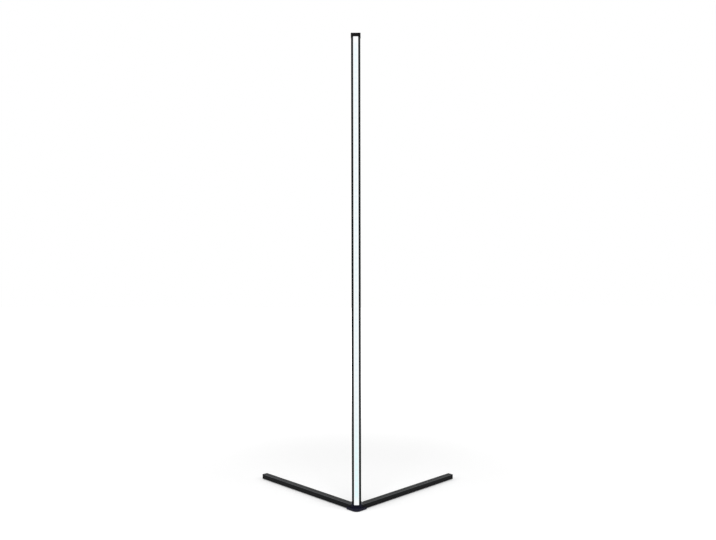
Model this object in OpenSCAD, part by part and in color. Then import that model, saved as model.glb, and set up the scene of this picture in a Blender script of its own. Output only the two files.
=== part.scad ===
// Corner floor lamp: a slim upright light column on a V-shaped base that stands in a room's corner.
// Millimetres, +Z up. The origin is on the floor, under the middle of the column.
// The lit face looks along -Y, and the two legs run back along the walls.

/* [Column] */
// Height of the lamp from the floor to the top of its cap
lamp_h = 1420; // [1000:10:1800]
// Width of the column across its lit face
column_w = 27.5; // [25:0.5:32]
// Depth of the column from front to back
column_d = 22; // [21:0.5:30]
// Wall of the column extrusion
column_wall = 1.6; // [1.3:0.1:2]
// Rounding of the column's upright edges
column_edge_r = 0.8; // [0.3:0.1:1.2]
// Number of sections that the column is packed in
column_sections = 3; // [3:1:4]
// Hairline between two sections of the column
seam_gap = 0.15; // [0.05:0.05:0.3]
// Width of each front lip beside the diffuser
lip_w = 6.3; // [4:0.1:6.5]
// Thickness of the front lips
lip_t = 1.6; // [1.2:0.1:2.2]
// Thickness of the ridges behind the diffuser's flanges
ridge_t = 1.2; // [0.8:0.1:1.6]
// Reach of the ridges from the side walls
ridge_w = 1.8; // [1.2:0.1:2.4]
// Thickness of the shelf that carries the light strip
shelf_t = 1.6; // [1.2:0.1:2]
// Depth of the wiring chamber behind the shelf
wiring_d = 5.8; // [5.4:0.1:6.6]
// Wall of the round screw ports in the wiring chamber
port_wall = 1.3; // [1:0.1:1.4]

/* [Joiners] */
// Length of the bars that join the column's sections
joiner_len = 60; // [45:5:90]
// Distance of each joiner screw from the seam
joiner_screw_set = 15; // [10:1:20]
// Length of the joiner screws
joiner_screw_len = 6; // [5:0.5:6.5]

/* [Diffuser] */
// Wall of the diffuser
diffuser_wall = 1.2; // [0.9:0.1:1.4]
// Depth from the column's face to the diffuser's edges
diffuser_sink = 0.5; // [0.3:0.1:0.8]
// Rise of the diffuser's middle above its edges
diffuser_crown = 1; // [0.6:0.1:1.3]

/* [Light strip] */
// Distance from the inlet's middle up to the strip's lower end
strip_set = 13; // [11:0.5:30]
// Width of the strip
strip_w = 10; // [8:1:12]
// Thickness of the strip's board
board_t = 0.4; // [0.2:0.1:0.6]
// Thickness of the tape that sticks the strip down
tape_t = 0.2; // [0.1:0.1:0.4]
// Length of one cutting unit of the strip
unit_len = 50; // [50:1:60]
// Lights in one cutting unit
unit_leds = 3; // [2:1:3]
// Side of a square light chip
led_side = 5; // [3:0.1:5.4]
// Height of a light chip
led_h = 1.6; // [1:0.1:2]
// Length of a chip resistor across the strip
resistor_len = 3.2; // [2:0.1:3.6]
// Width of a chip resistor along the strip
resistor_w = 1.6; // [1:0.1:2]
// Height of a chip resistor
resistor_h = 0.6; // [0.4:0.1:1]
// Diameter of the insulated leads
lead_d = 1.4; // [1:0.1:1.6]
// Distance between the two leads on the strip
lead_pitch = 4.4; // [3:0.1:5.4]
// Bare length of the strip's end that each lead lies on
lead_lap = 3; // [2:0.5:4]

/* [Power inlet] */
// Height of the inlet's middle above the collar
inlet_rise = 15.6; // [9:0.2:40]
// Diameter of the inlet's barrel
jack_d = 8; // [7.6:0.1:8.4]
// Length of the barrel inside the column
jack_len = 12; // [11:0.5:13]
// Diameter of the inlet's outer flange
jack_flange_d = 11; // [10:0.5:13]
// Thickness of the outer flange
jack_flange_t = 1.6; // [1:0.1:2.5]
// Diameter of the hole for the plug
jack_bore_d = 6.2; // [5.8:0.1:6.4]
// Depth of the hole for the plug
jack_bore_len = 9.6; // [9:0.1:10.5]
// Diameter of the centre pin
jack_pin_d = 2; // [1.6:0.1:2.5]
// Distance of the pin's tip from the flange's face
jack_pin_set = 1; // [0.5:0.1:2]
// Length of the solder tails behind the barrel
jack_tail = 2.6; // [2:0.1:3]
// Width of the outer contact
contact_w = 2.4; // [2:0.1:3]
// Thickness of the outer contact
contact_t = 0.5; // [0.4:0.1:0.6]
// Width of the nut across its flats
jack_nut_af = 10; // [9.6:0.1:10.6]
// Thickness of the nut
jack_nut_t = 2; // [1.5:0.1:2.5]

/* [Top cap] */
// Thickness of the cap above the column
cap_t = 11; // [5:0.5:12]
// Overhang of the cap round the column
cap_lip = 0.8; // [0.2:0.1:1.6]
// Bevel of the cap's upper edge
cap_bevel = 0.8; // [0.3:0.1:1.5]
// Depth of the cap's plug inside the column
cap_plug = 6; // [4:0.5:10]
// Length of the cap's screws
cap_screw_len = 20; // [18:1:25]

/* [Base connector] */
// Distance from the legs' outer corner back to the column's face
corner_lead = 21; // [18:0.5:24]
// Height of the connector's bottom edge above the floor
shoe_lift = 0.5; // [0.3:0.1:1]
// Height of the connector's deck above the floor
shoe_h = 8.2; // [6:0.1:11]
// Wall of the connector outside each leg
shoe_wall = 3; // [2:0.1:5]
// Reach of the connector along each leg from the crossing of their middles
shoe_reach = 30; // [27:0.2:40]
// Rounding of the connector's front corner
shoe_corner_r = 15; // [13.5:0.5:20]
// Step round the edge of the connector's deck
shoe_step = 0.6; // [0.3:0.1:1]
// Wall of the collar beside the column
collar_side = 4; // [3:0.1:6]
// Wall of the collar in front of the column
collar_front = 3.1; // [2.5:0.1:5]
// Rise of the collar above the legs
collar_rise = 0; // [0:0.1:8]
// Rounding of the collar's upright edges
collar_edge_r = 2.5; // [1.5:0.1:3]
// Depth of the front notch in which the diffuser ends
collar_notch = 2.9; // [1:0.1:3]
// Height of the socket's floor, on which the column stands
socket_floor = 3.9; // [3.5:0.1:4.4]
// Reach of the tongues inside the legs, from the crossing of the legs' middles
tongue_reach = 84; // [75:1:110]
// Bevel of the tongues' ends
tongue_bevel = 2; // [1:0.5:3]
// Length of the screws that hold the column
column_screw_len = 16; // [14:1:20]

/* [Legs] */
// Length of each leg's outer edge, from the sharp corner to the tip
leg_reach = 458; // [300:2:600]
// Width of a leg
leg_w = 20; // [18:0.5:26]
// Height of a leg
leg_h = 15.5; // [12:0.5:18]
// Wall of a leg's tube
leg_wall = 1.5; // [1.4:0.1:1.8]
// Rounding of a leg's long edges
leg_edge_r = 1.2; // [0.5:0.1:1.3]
// Height of the legs' underside above the floor
leg_lift = 2; // [1.8:0.1:2.8]
// Distance of the first leg screw from the crossing of the legs' middles
leg_screw_from = 50; // [48:1:55]
// Distance between a leg's two screws
leg_screw_pitch = 20; // [10:1:22]
// Length of the leg screws
leg_screw_len = 8; // [5:0.5:8]
// Visible length of a leg's end cap
tip_len = 8; // [4:0.5:12]
// Length of the end cap's plug inside the tube
tip_plug = 12; // [8:1:20]
// Wall of the end cap's hollow plug
tip_plug_wall = 1.5; // [1:0.1:2]
// Bevel of the end cap's outer edges
tip_bevel = 0.8; // [0.3:0.1:1.2]

/* [Floor pads] */
// Diameter of the pad under each leg
foot_d = 10; // [8:0.5:16]
// Distance of each leg's pad from the leg's tip
foot_set = 18; // [12:1:40]
// Bevel of the leg pads
foot_bevel = 0.4; // [0.2:0.1:0.8]
// Depth of the recess that holds the connector's pad
pad_recess = 0.4; // [0.2:0.1:0.6]
// Distance of the connector's pad from the connector's edge
pad_margin = 3; // [2:0.2:4]

/* [Fasteners and fits] */
// Diameter of all screws
screw_d = 3; // [2.8:0.1:3.2]
// Diameter of the screws' countersunk heads
head_d = 5.6; // [5:0.1:6]
// Height of the countersunk heads
head_h = 1.4; // [1:0.1:1.5]
// Side clearance of sliding and plugged pieces
fit_gap = 0.2; // [0.1:0.05:0.25]
// Side clearance of a screw in its hole
thread_gap = 0.05; // [0.02:0.01:0.08]

/* [Hidden] */
$fn = 64;
EPS = 0.01;

// Planes across the column, front to back
face_y = -column_d / 2;
back_y = column_d / 2;
inner_half_w = column_w / 2 - column_wall;
slot_half_w = column_w / 2 - lip_w;
flange_y = face_y + lip_t;
ridge_y = flange_y + diffuser_wall + fit_gap;
chamber_y = ridge_y + ridge_t;
wiring_back_y = back_y - column_wall;
wiring_front_y = wiring_back_y - wiring_d;
shelf_y = wiring_front_y - shelf_t;

// Screw ports in the wiring chamber's rear corners
hole_d = screw_d + 2 * thread_gap;
port_d = screw_d + 2 * port_wall;
port_sink = 0.5;
port_x = inner_half_w - port_d / 2 + port_sink;
port_y = wiring_back_y - port_d / 2 + port_sink;

// Heights of the column and its sections
column_top = lamp_h - cap_t;
section_len = (column_top - socket_floor - (column_sections - 1) * seam_gap) / column_sections;
section_pitch = section_len + seam_gap;

// V of the base: the legs' middles cross under the column's front
crossing_y = face_y - corner_lead + leg_w / sqrt(2);
corner_to_crossing = leg_w / 2;
leg_end = leg_reach - corner_to_crossing;
tube_end = leg_end - tip_len;
leg_top = leg_lift + leg_h;
tongue_w = leg_w - 2 * leg_wall - 2 * fit_gap;
tongue_h = leg_h - 2 * leg_wall - 2 * fit_gap;
tongue_z = leg_lift + leg_wall + fit_gap;
recess_top = shoe_lift + pad_recess;

// Collar: its back closes the legs' mitred ends
collar_w = column_w + 2 * collar_side;
collar_top = leg_top + collar_rise;
mitre_half_w = collar_w / 2 + fit_gap;
collar_front_y = face_y - collar_front;
collar_back_y = max(back_y + collar_front, crossing_y + mitre_half_w + leg_w / sqrt(2));
collar_d = collar_back_y - collar_front_y;
tongue_root = 2;

// Power inlet in the column's back, above the collar
jack_z = collar_top + inlet_rise;
jack_face_y = back_y + jack_flange_t;
jack_back_y = back_y - jack_len;
jack_bore_y = jack_face_y - jack_bore_len;
pin_end_y = jack_back_y - jack_tail;
contact_z = jack_z - jack_bore_d / 2 + contact_t / 2;

// Light strip: whole cutting units that fit between the inlet and the cap's plug
strip_start = jack_z + strip_set;
strip_room = column_top - cap_plug - strip_start;
strip_units = floor(strip_room / unit_len);
strip_len = strip_units * unit_len;
led_pitch = unit_len / unit_leds;
board_y = shelf_y - tape_t;
parts_y = board_y - board_t;

// ---- Shared shapes ----

// Flat rectangle with rounded corners, centred
module rounded_rect(w, d, r) {
    square([w - 2 * r, d], center = true);
    square([w, d - 2 * r], center = true);
    for (x = [-1, 1], y = [-1, 1])
        translate([x * (w / 2 - r), y * (d / 2 - r)]) circle(r = r);
}

// Flat rectangle from two corners
module rect(x0, y0, x1, y1) {
    translate([x0, y0]) square([x1 - x0, y1 - y0]);
}

// Leg frame: x runs along the right leg's middle from the crossing, y points into the V
module right_leg_frame() {
    translate([0, crossing_y, 0]) rotate([0, 0, 45]) children();
}

module leg_frame(side) {
    if (side > 0) right_leg_frame() children();
    else mirror([1, 0, 0]) right_leg_frame() children();
}

// Bar along a leg, with its section centred on the leg's middle
module leg_bar(from, to, w, h, z, r) {
    translate([from, 0, z + h / 2]) rotate([90, 0, 90])
        linear_extrude(height = to - from) rounded_rect(w, h, r);
}

// Countersunk screw with a cross recess: its head is at z = 0 and it points down
module screw(len) {
    recess_depth = 0.9;
    recess_w = 0.7;
    recess_len = 3;
    point = 1;
    difference() {
        union() {
            translate([0, 0, -head_h]) cylinder(h = head_h, d1 = screw_d, d2 = head_d);
            translate([0, 0, point - len]) cylinder(h = len - point - head_h / 2, d = screw_d);
            translate([0, 0, -len]) cylinder(h = point, d1 = screw_d / 2, d2 = screw_d);
        }
        for (a = [0, 90])
            rotate([0, 0, a]) translate([-recess_len / 2, -recess_w / 2, -recess_depth])
                cube([recess_len, recess_w, recess_depth + EPS]);
    }
}

// Space that such a screw passes through or threads into
module screw_hole(len) {
    translate([0, 0, -head_h]) cylinder(h = head_h + EPS, d1 = hole_d, d2 = head_d + 2 * thread_gap);
    translate([0, 0, -len - 1]) cylinder(h = len + 1, d = hole_d);
}

module at_ports() {
    for (side = [-1, 1]) translate([side * port_x, port_y, 0]) children();
}

// Round lead through a list of points
module lead(points) {
    for (i = [0:len(points) - 2]) {
        step = points[i + 1] - points[i];
        flat = norm([step[0], step[1]]);
        translate(points[i]) rotate([0, atan2(flat, step[2]), atan2(step[1], step[0])])
            cylinder(h = norm(step), d = lead_d, $fn = 24);
        if (i > 0) translate(points[i]) sphere(d = lead_d + 2 * EPS, $fn = 24);
    }
}

// ---- Column ----

module column_section_2d() {
    difference() {
        rounded_rect(column_w, column_d, column_edge_r);
        // Slot between the lips, groove for the flanges, and light chamber
        rect(-slot_half_w, face_y - 1, slot_half_w, flange_y + EPS);
        rect(-inner_half_w, flange_y, inner_half_w, ridge_y);
        rect(-inner_half_w + ridge_w, ridge_y - EPS, inner_half_w - ridge_w, chamber_y + EPS);
        rect(-inner_half_w, chamber_y, inner_half_w, shelf_y);
        difference() {
            rect(-inner_half_w, wiring_front_y, inner_half_w, wiring_back_y);
            at_ports() circle(d = port_d);
        }
        at_ports() circle(d = hole_d);
    }
}

// Screw places of the joiners: seam number, and which side of the seam
module at_joiner_screws(seam, side) {
    seam_z = socket_floor + seam * section_pitch - seam_gap / 2;
    translate([0, back_y, seam_z + side * joiner_screw_set]) rotate([-90, 0, 0]) children();
}

module column_section(index) {
    color("#1d1f21") difference() {
        translate([0, 0, socket_floor + index * section_pitch])
            linear_extrude(height = section_len) column_section_2d();
        if (index > 0) at_joiner_screws(index, 1) screw_hole(joiner_screw_len);
        if (index < column_sections - 1) at_joiner_screws(index + 1, -1) screw_hole(joiner_screw_len);
        if (index == 0) inlet_opening();
    }
}

// The bottom section is column_lower and the top one column_upper; the rest are column_middle
module column_lower() { column_section(0); }

module column_middle() {
    for (i = [1:1:column_sections - 2]) column_section(i);
}

module column_upper() { column_section(column_sections - 1); }

module column_joiners() {
    bar_w = 2 * (port_x - port_d / 2 - fit_gap);
    bar_t = wiring_d - 2 * fit_gap;
    color("#9a9ea2") for (seam = [1:column_sections - 1]) difference() {
        translate([-bar_w / 2, wiring_front_y + fit_gap,
                   socket_floor + seam * section_pitch - seam_gap / 2 - joiner_len / 2])
            cube([bar_w, bar_t, joiner_len]);
        for (side = [-1, 1]) at_joiner_screws(seam, side) screw_hole(joiner_screw_len);
    }
}

module joiner_screws() {
    color("#2b2c2e") for (seam = [1:column_sections - 1], side = [-1, 1])
        at_joiner_screws(seam, side) screw(joiner_screw_len);
}

// ---- Diffuser ----

// The dome is an arc over the slot: its radius follows from its width and crown
module dome_2d(half_w, crown, edge_y) {
    r = (half_w * half_w + crown * crown) / (2 * crown);
    intersection() {
        translate([0, edge_y - crown + r]) circle(r = r, $fn = 256);
        rect(-half_w, edge_y - crown - 1, half_w, edge_y + EPS);
    }
}

module light_diffuser() {
    half_w = slot_half_w - fit_gap / 2;
    edge_y = face_y + diffuser_sink;
    flange_front = flange_y + fit_gap / 2;
    flange_back = flange_front + diffuser_wall;
    foot_z = collar_top - collar_notch;
    color("#f0fafc") translate([0, 0, foot_z]) linear_extrude(height = column_top - foot_z)
        difference() {
            union() {
                dome_2d(half_w, diffuser_crown, edge_y);
                rect(-half_w, edge_y, half_w, flange_back);
                rect(-inner_half_w + fit_gap, flange_front, inner_half_w - fit_gap, flange_back);
            }
            // Hollow behind the face, with the same wall all round
            dome_2d(half_w - diffuser_wall, diffuser_crown, edge_y + diffuser_wall);
            rect(-half_w + diffuser_wall, edge_y + diffuser_wall,
                 half_w - diffuser_wall, flange_back + 1);
        }
}

// ---- Light strip ----

module strip_tape() {
    color("#e8e4d8") translate([-strip_w / 2, board_y, strip_start]) cube([strip_w, tape_t, strip_len]);
}

module strip_board() {
    color("#f4f4f0") translate([-strip_w / 2, parts_y, strip_start]) cube([strip_w, board_t, strip_len]);
}

module strip_leds() {
    color("#f3e9b8") for (unit = [0:strip_units - 1], i = [0:unit_leds - 1])
        translate([-led_side / 2, parts_y - led_h,
                   strip_start + unit * unit_len + (i + 0.5) * led_pitch - led_side / 2])
            cube([led_side, led_h, led_side]);
}

// One resistor after each light, and never on a cutting line
module strip_resistors() {
    set = led_side / 2 + 1 + resistor_w / 2;
    color("#26282a") for (unit = [0:strip_units - 1], i = [0:unit_leds - 1])
        translate([-resistor_len / 2, parts_y - resistor_h,
                   strip_start + unit * unit_len + (i + 0.5) * led_pitch + set - resistor_w / 2])
            cube([resistor_len, resistor_h, resistor_w]);
}

// A lead leaves its solder tail, climbs in front of the shelf and lies on the strip's end
module strip_lead(side, tail_y, tail_z) {
    bend = lead_d;
    lie_y = parts_y - lead_d / 2;
    x = side * lead_pitch / 2;
    lead([
        [0, tail_y, tail_z],
        [0, tail_y - bend, tail_z],
        [x, tail_y - bend / 2, tail_z + 2 * bend],
        [x, lie_y, strip_start - bend],
        [x, lie_y, strip_start + lead_lap]
    ]);
}

module lead_red() { color("#b3261e") strip_lead(1, pin_end_y, jack_z); }

module lead_black() { color("#1a1a1a") strip_lead(-1, pin_end_y, contact_z); }

// ---- Power inlet ----

// Hole in the back wall, and notch in the shelf for the barrel
module inlet_opening() {
    notch = jack_d + 1;
    translate([0, back_y + 1, jack_z]) rotate([90, 0, 0])
        cylinder(h = column_wall + 2, d = jack_d + fit_gap);
    translate([-notch / 2, shelf_y - 1, jack_z - notch / 2]) cube([notch, shelf_t + 2, notch]);
}

module inlet_body() {
    color("#161719") difference() {
        translate([0, jack_back_y, jack_z]) rotate([-90, 0, 0]) {
            cylinder(h = jack_len + jack_flange_t, d = jack_d);
            translate([0, 0, jack_len]) cylinder(h = jack_flange_t, d = jack_flange_d);
        }
        translate([0, jack_bore_y, jack_z]) rotate([-90, 0, 0])
            cylinder(h = jack_bore_len + 1, d = jack_bore_d);
        translate([0, jack_back_y - 1, jack_z]) rotate([-90, 0, 0])
            cylinder(h = jack_len, d = jack_pin_d + 2 * thread_gap);
        translate([-contact_w / 2 - thread_gap, jack_back_y - 1, contact_z - contact_t / 2 - thread_gap])
            cube([contact_w + 2 * thread_gap, jack_len, contact_t + 2 * thread_gap]);
    }
}

module inlet_pin() {
    pin_len = jack_face_y - jack_pin_set - pin_end_y;
    tip_h = jack_pin_d / 4;
    color("#c9cbcd") translate([0, pin_end_y, jack_z]) rotate([-90, 0, 0]) {
        cylinder(h = pin_len - tip_h, d = jack_pin_d);
        translate([0, 0, pin_len - tip_h]) cylinder(h = tip_h, d1 = jack_pin_d, d2 = jack_pin_d / 2);
    }
}

// Flat spring of the outer contact, in a slot at the bottom of the bore
module inlet_contact() {
    contact_len = jack_face_y - jack_flange_t - pin_end_y;
    color("#c9a86a") translate([-contact_w / 2, pin_end_y, contact_z - contact_t / 2])
        cube([contact_w, contact_len - column_wall, contact_t]);
}

module inlet_nut() {
    color("#8d9093") difference() {
        translate([0, wiring_back_y, jack_z]) rotate([90, 0, 0])
            rotate(30) cylinder(h = jack_nut_t, d = jack_nut_af / cos(30), $fn = 6);
        translate([0, wiring_back_y + 1, jack_z]) rotate([90, 0, 0])
            cylinder(h = jack_nut_t + 2, d = jack_d + 2 * thread_gap);
    }
}

// ---- Top cap ----

module top_cap() {
    w = column_w + 2 * cap_lip;
    d = column_d + 2 * cap_lip;
    color("#0d0e0f") difference() {
        union() {
            intersection() {
                translate([0, 0, column_top]) linear_extrude(height = cap_t)
                    rounded_rect(w, d, column_edge_r + cap_lip);
                bevelled_slab(w, d);
                rotate([0, 0, 90]) bevelled_slab(d, w);
            }
            // Plug in the light chamber
            translate([-inner_half_w + fit_gap, chamber_y + fit_gap, column_top - cap_plug])
                cube([2 * (inner_half_w - fit_gap), shelf_y - chamber_y - 2 * fit_gap, cap_plug + 1]);
        }
        translate([0, 0, lamp_h]) at_ports() screw_hole(cap_screw_len);
    }
}

// Slab over the cap with bevelled upper edges on its two long sides
module bevelled_slab(w, d) {
    rotate([90, 0, 0]) linear_extrude(height = d + 2, center = true) polygon([
        [-w / 2, column_top], [w / 2, column_top],
        [w / 2, lamp_h - cap_bevel], [w / 2 - cap_bevel, lamp_h],
        [-w / 2 + cap_bevel, lamp_h], [-w / 2, lamp_h - cap_bevel]
    ]);
}

module top_cap_screws() {
    color("#2b2c2e") translate([0, 0, lamp_h]) at_ports() screw(cap_screw_len);
}

// ---- Base connector ----

// Plan of the V-shaped shoe, drawn in by an inset on all sides
module shoe_2d(inset) {
    half_w = leg_w / 2 + shoe_wall - inset;
    round_r = shoe_corner_r - inset;
    // The round corner touches both outer sides, so its middle is on the V's axis
    round_set = round_r - half_w;
    translate([0, crossing_y]) rotate(45) {
        translate([round_set, round_set]) circle(r = round_r);
        rect(round_set, -half_w, shoe_reach - inset, half_w);
        rect(-half_w, round_set, half_w, shoe_reach - inset);
    }
}

// Plan of the collar round the column
module collar_2d(inset) {
    translate([0, (collar_front_y + collar_back_y) / 2])
        rounded_rect(collar_w - 2 * inset, collar_d - 2 * inset, max(collar_edge_r - inset, 0.5));
}

// Keeps what lies beside the middle of the lamp, on the side of one leg
module beside(half_w) {
    difference() {
        children();
        translate([-half_w, -leg_reach, 0]) cube([2 * half_w, 2 * leg_reach, lamp_h]);
    }
}

// Room for a leg beside the collar, open at the top
module leg_seat(side) {
    beside(collar_w / 2) leg_frame(side) translate([0, -leg_w / 2 - fit_gap / 2, leg_lift])
        cube([leg_end, leg_w + fit_gap, collar_top]);
}

// Tongue that grows out of the collar's side into a leg
module tongue(side) {
    beside(collar_w / 2 - tongue_root) leg_frame(side) difference() {
        leg_bar(0, tongue_reach, tongue_w, tongue_h, tongue_z, leg_edge_r / 2);
        for (y = [-1, 1]) translate([tongue_reach, y * tongue_w / 2, 0]) rotate([0, 0, 45])
            cube([tongue_bevel * sqrt(2), tongue_bevel * sqrt(2), 4 * leg_h], center = true);
        at_leg_screws() screw_hole(leg_screw_len);
    }
}

// Screw places under a leg, pointing up
module at_leg_screws() {
    for (i = [0, 1])
        translate([leg_screw_from + i * leg_screw_pitch, 0, leg_lift]) rotate([180, 0, 0]) children();
}

module base_connector() {
    deck_z = shoe_h - shoe_step;
    color("#0b0b14") difference() {
        union() {
            difference() {
                union() {
                    translate([0, 0, shoe_lift]) linear_extrude(height = deck_z - shoe_lift) shoe_2d(0);
                    translate([0, 0, shoe_lift]) linear_extrude(height = shoe_h - shoe_lift)
                        shoe_2d(shoe_step);
                }
                for (side = [-1, 1]) leg_seat(side);
            }
            translate([0, 0, shoe_lift]) linear_extrude(height = collar_top - shoe_step - shoe_lift)
                collar_2d(0);
            translate([0, 0, shoe_lift]) linear_extrude(height = collar_top - shoe_lift)
                collar_2d(shoe_step);
            for (side = [-1, 1]) tongue(side);
        }
        // Socket for the column, and the notch in the collar's front
        translate([0, 0, socket_floor]) linear_extrude(height = collar_top)
            rounded_rect(column_w + 2 * fit_gap, column_d + 2 * fit_gap, column_edge_r);
        translate([-slot_half_w, collar_front_y - 1, collar_top - collar_notch])
            cube([2 * slot_half_w, collar_front + 2, collar_top]);
        // Recess under the base, and the column's two screws
        translate([0, 0, shoe_lift - 1]) linear_extrude(height = pad_recess + 1) pad_2d(0);
        translate([0, 0, recess_top]) rotate([180, 0, 0]) mirror([0, 1, 0])
            at_ports() screw_hole(column_screw_len);
    }
}

module column_screws() {
    color("#2b2c2e") translate([0, 0, recess_top]) rotate([180, 0, 0]) mirror([0, 1, 0])
        at_ports() screw(column_screw_len);
}

// Plan of the floor pad under the base connector
module pad_2d(gap) {
    shoe_2d(pad_margin + gap);
    collar_2d(pad_margin + gap);
}

module base_pad() {
    color("#1c1c1c") linear_extrude(height = recess_top) difference() {
        pad_2d(fit_gap / 2);
        at_ports() circle(d = head_d + 2 * fit_gap);
    }
}

// ---- Legs ----

// Tube with its inner end mitred against the collar's side
module leg(side) {
    color("#2a2b2d") beside(mitre_half_w) leg_frame(side) difference() {
        leg_bar(0, tube_end, leg_w, leg_h, leg_lift, leg_edge_r);
        leg_bar(-1, tube_end + 1, leg_w - 2 * leg_wall, leg_h - 2 * leg_wall,
                leg_lift + leg_wall, leg_edge_r / 2);
        at_leg_screws() screw_hole(leg_screw_len);
    }
}

module leg_left() { leg(-1); }

module leg_right() { leg(1); }

module leg_screws() {
    color("#2b2c2e") for (side = [-1, 1]) leg_frame(side) at_leg_screws() screw(leg_screw_len);
}

module tip_cap(side) {
    plug_w = leg_w - 2 * leg_wall - 2 * thread_gap;
    plug_h = leg_h - 2 * leg_wall - 2 * thread_gap;
    plug_z = leg_lift + leg_wall + thread_gap;
    color("#0c0c0d") leg_frame(side) {
        difference() {
            leg_bar(tube_end, leg_end, leg_w, leg_h, leg_lift, leg_edge_r);
            for (y = [-1, 1]) translate([leg_end, y * leg_w / 2, 0]) rotate([0, 0, 45])
                cube([tip_bevel * sqrt(2), tip_bevel * sqrt(2), 4 * leg_h], center = true);
            for (z = [leg_lift, leg_top]) translate([leg_end, 0, z]) rotate([0, 45, 0])
                cube([tip_bevel * sqrt(2), 2 * leg_w, tip_bevel * sqrt(2)], center = true);
        }
        difference() {
            leg_bar(tube_end - tip_plug, tube_end + 1, plug_w, plug_h, plug_z, leg_edge_r / 2);
            translate([tube_end - tip_plug - 1, -plug_w / 2 + tip_plug_wall, plug_z + tip_plug_wall])
                cube([tip_plug + 1, plug_w - 2 * tip_plug_wall, plug_h - 2 * tip_plug_wall]);
        }
    }
}

module tip_cap_left() { tip_cap(-1); }

module tip_cap_right() { tip_cap(1); }

module foot_pad(side) {
    color("#1c1c1c") leg_frame(side) translate([leg_end - foot_set, 0, 0]) {
        cylinder(h = foot_bevel, d1 = foot_d - 2 * foot_bevel, d2 = foot_d);
        translate([0, 0, foot_bevel]) cylinder(h = leg_lift - foot_bevel, d = foot_d);
    }
}

module foot_pad_left() { foot_pad(-1); }

module foot_pad_right() { foot_pad(1); }

column_lower();
column_middle();
column_upper();
column_joiners();
joiner_screws();
light_diffuser();
strip_tape();
strip_board();
strip_leds();
strip_resistors();
lead_red();
lead_black();
inlet_body();
inlet_pin();
inlet_contact();
inlet_nut();
top_cap();
top_cap_screws();
base_connector();
base_pad();
column_screws();
leg_left();
leg_right();
leg_screws();
tip_cap_left();
tip_cap_right();
foot_pad_left();
foot_pad_right();
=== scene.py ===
"""Corner floor lamp: a slim upright light column on a V-shaped base.

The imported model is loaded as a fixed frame. Each operator below makes or finishes one piece, or a
group of like pieces, and the last lines run them all.
"""

import math
from contextlib import contextmanager
from functools import partial

import bmesh
import bpy
from mathutils import Matrix, Vector


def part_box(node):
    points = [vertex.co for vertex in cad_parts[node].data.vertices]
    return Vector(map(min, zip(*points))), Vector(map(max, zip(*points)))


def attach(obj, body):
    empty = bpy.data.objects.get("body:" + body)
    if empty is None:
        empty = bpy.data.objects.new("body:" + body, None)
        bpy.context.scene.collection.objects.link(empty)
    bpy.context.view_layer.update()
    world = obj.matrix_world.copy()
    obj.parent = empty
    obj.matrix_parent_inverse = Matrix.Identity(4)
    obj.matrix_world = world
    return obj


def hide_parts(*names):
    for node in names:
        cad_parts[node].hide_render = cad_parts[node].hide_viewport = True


bl_info = {
    "name": "Corner floor lamp",
    "version": (1, 0, 0),
    "blender": (4, 5, 0),
    "location": "View3D > Sidebar > Corner lamp",
    "description": "Finished pieces, materials and studio stage of a corner floor lamp",
    "category": "Object",
}

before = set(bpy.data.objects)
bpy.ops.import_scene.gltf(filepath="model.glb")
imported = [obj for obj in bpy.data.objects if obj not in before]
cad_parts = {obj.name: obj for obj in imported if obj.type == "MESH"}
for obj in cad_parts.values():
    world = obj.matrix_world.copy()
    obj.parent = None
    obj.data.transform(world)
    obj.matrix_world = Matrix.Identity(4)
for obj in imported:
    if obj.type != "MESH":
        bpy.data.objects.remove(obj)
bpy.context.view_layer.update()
BODY = "root"
MM = 0.001
SENSOR_WIDTH = 36
# Points nearer than MERGE become one, and places nearer than CLOSE count as the same
MERGE = 0.002 * MM
CLOSE = 0.01 * MM
# Faces that meet at less are flat, or are shaded as one. A face looks along an axis when its normal has
# more than FACING on it.
FLAT_ANGLE = math.radians(0.5)
SMOOTH_ANGLE = math.radians(40)
FACING = 0.9
LIGHTS_A_UNIT = 3
SIDES = (-1, 1)
NAMED_SIDES = ("left", "right")
SECTIONS = ("column_lower", "column_middle", "column_upper")
# A turned shape stands on +Z. These lay it towards the lamp's back, or stand it on its head.
TO_BACK = Matrix.Rotation(-math.pi / 2, 4, "X")
UPSIDE_DOWN = Matrix.Rotation(math.pi, 4, "X")


def linear(hex_colour):
    """The linear colour of an sRGB hex value, fully opaque."""
    shares = [int(hex_colour[i:i + 2], 16) / 255 for i in (1, 3, 5)]
    return tuple(s / 12.92 if s <= 0.04045 else ((s + 0.055) / 1.055) ** 2.4 for s in shares) + (1.0,)


def colour(name, hex_colour):
    """A colour property that starts from an sRGB hex value."""
    return bpy.props.FloatVectorProperty(
        name=name, description=name + " as it is seen in plain light",
        subtype="COLOR", size=4, min=0, max=1, default=linear(hex_colour))


def number(name, start, description, **kind):
    """A number property. Its kind is its unit, its subtype and its least value."""
    return bpy.props.FloatProperty(name=name, default=start, description=description, **kind)


def length(name, mm, description):
    """A length property with its default in millimetres."""
    return number(name, mm * MM, description, min=0, precision=5, subtype="DISTANCE", unit="LENGTH")


def angle(name, degrees, description):
    """An angle property with its default in degrees."""
    return number(name, math.radians(degrees), description, subtype="ANGLE", unit="ROTATION")


# ---- What a user may change ----

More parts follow.
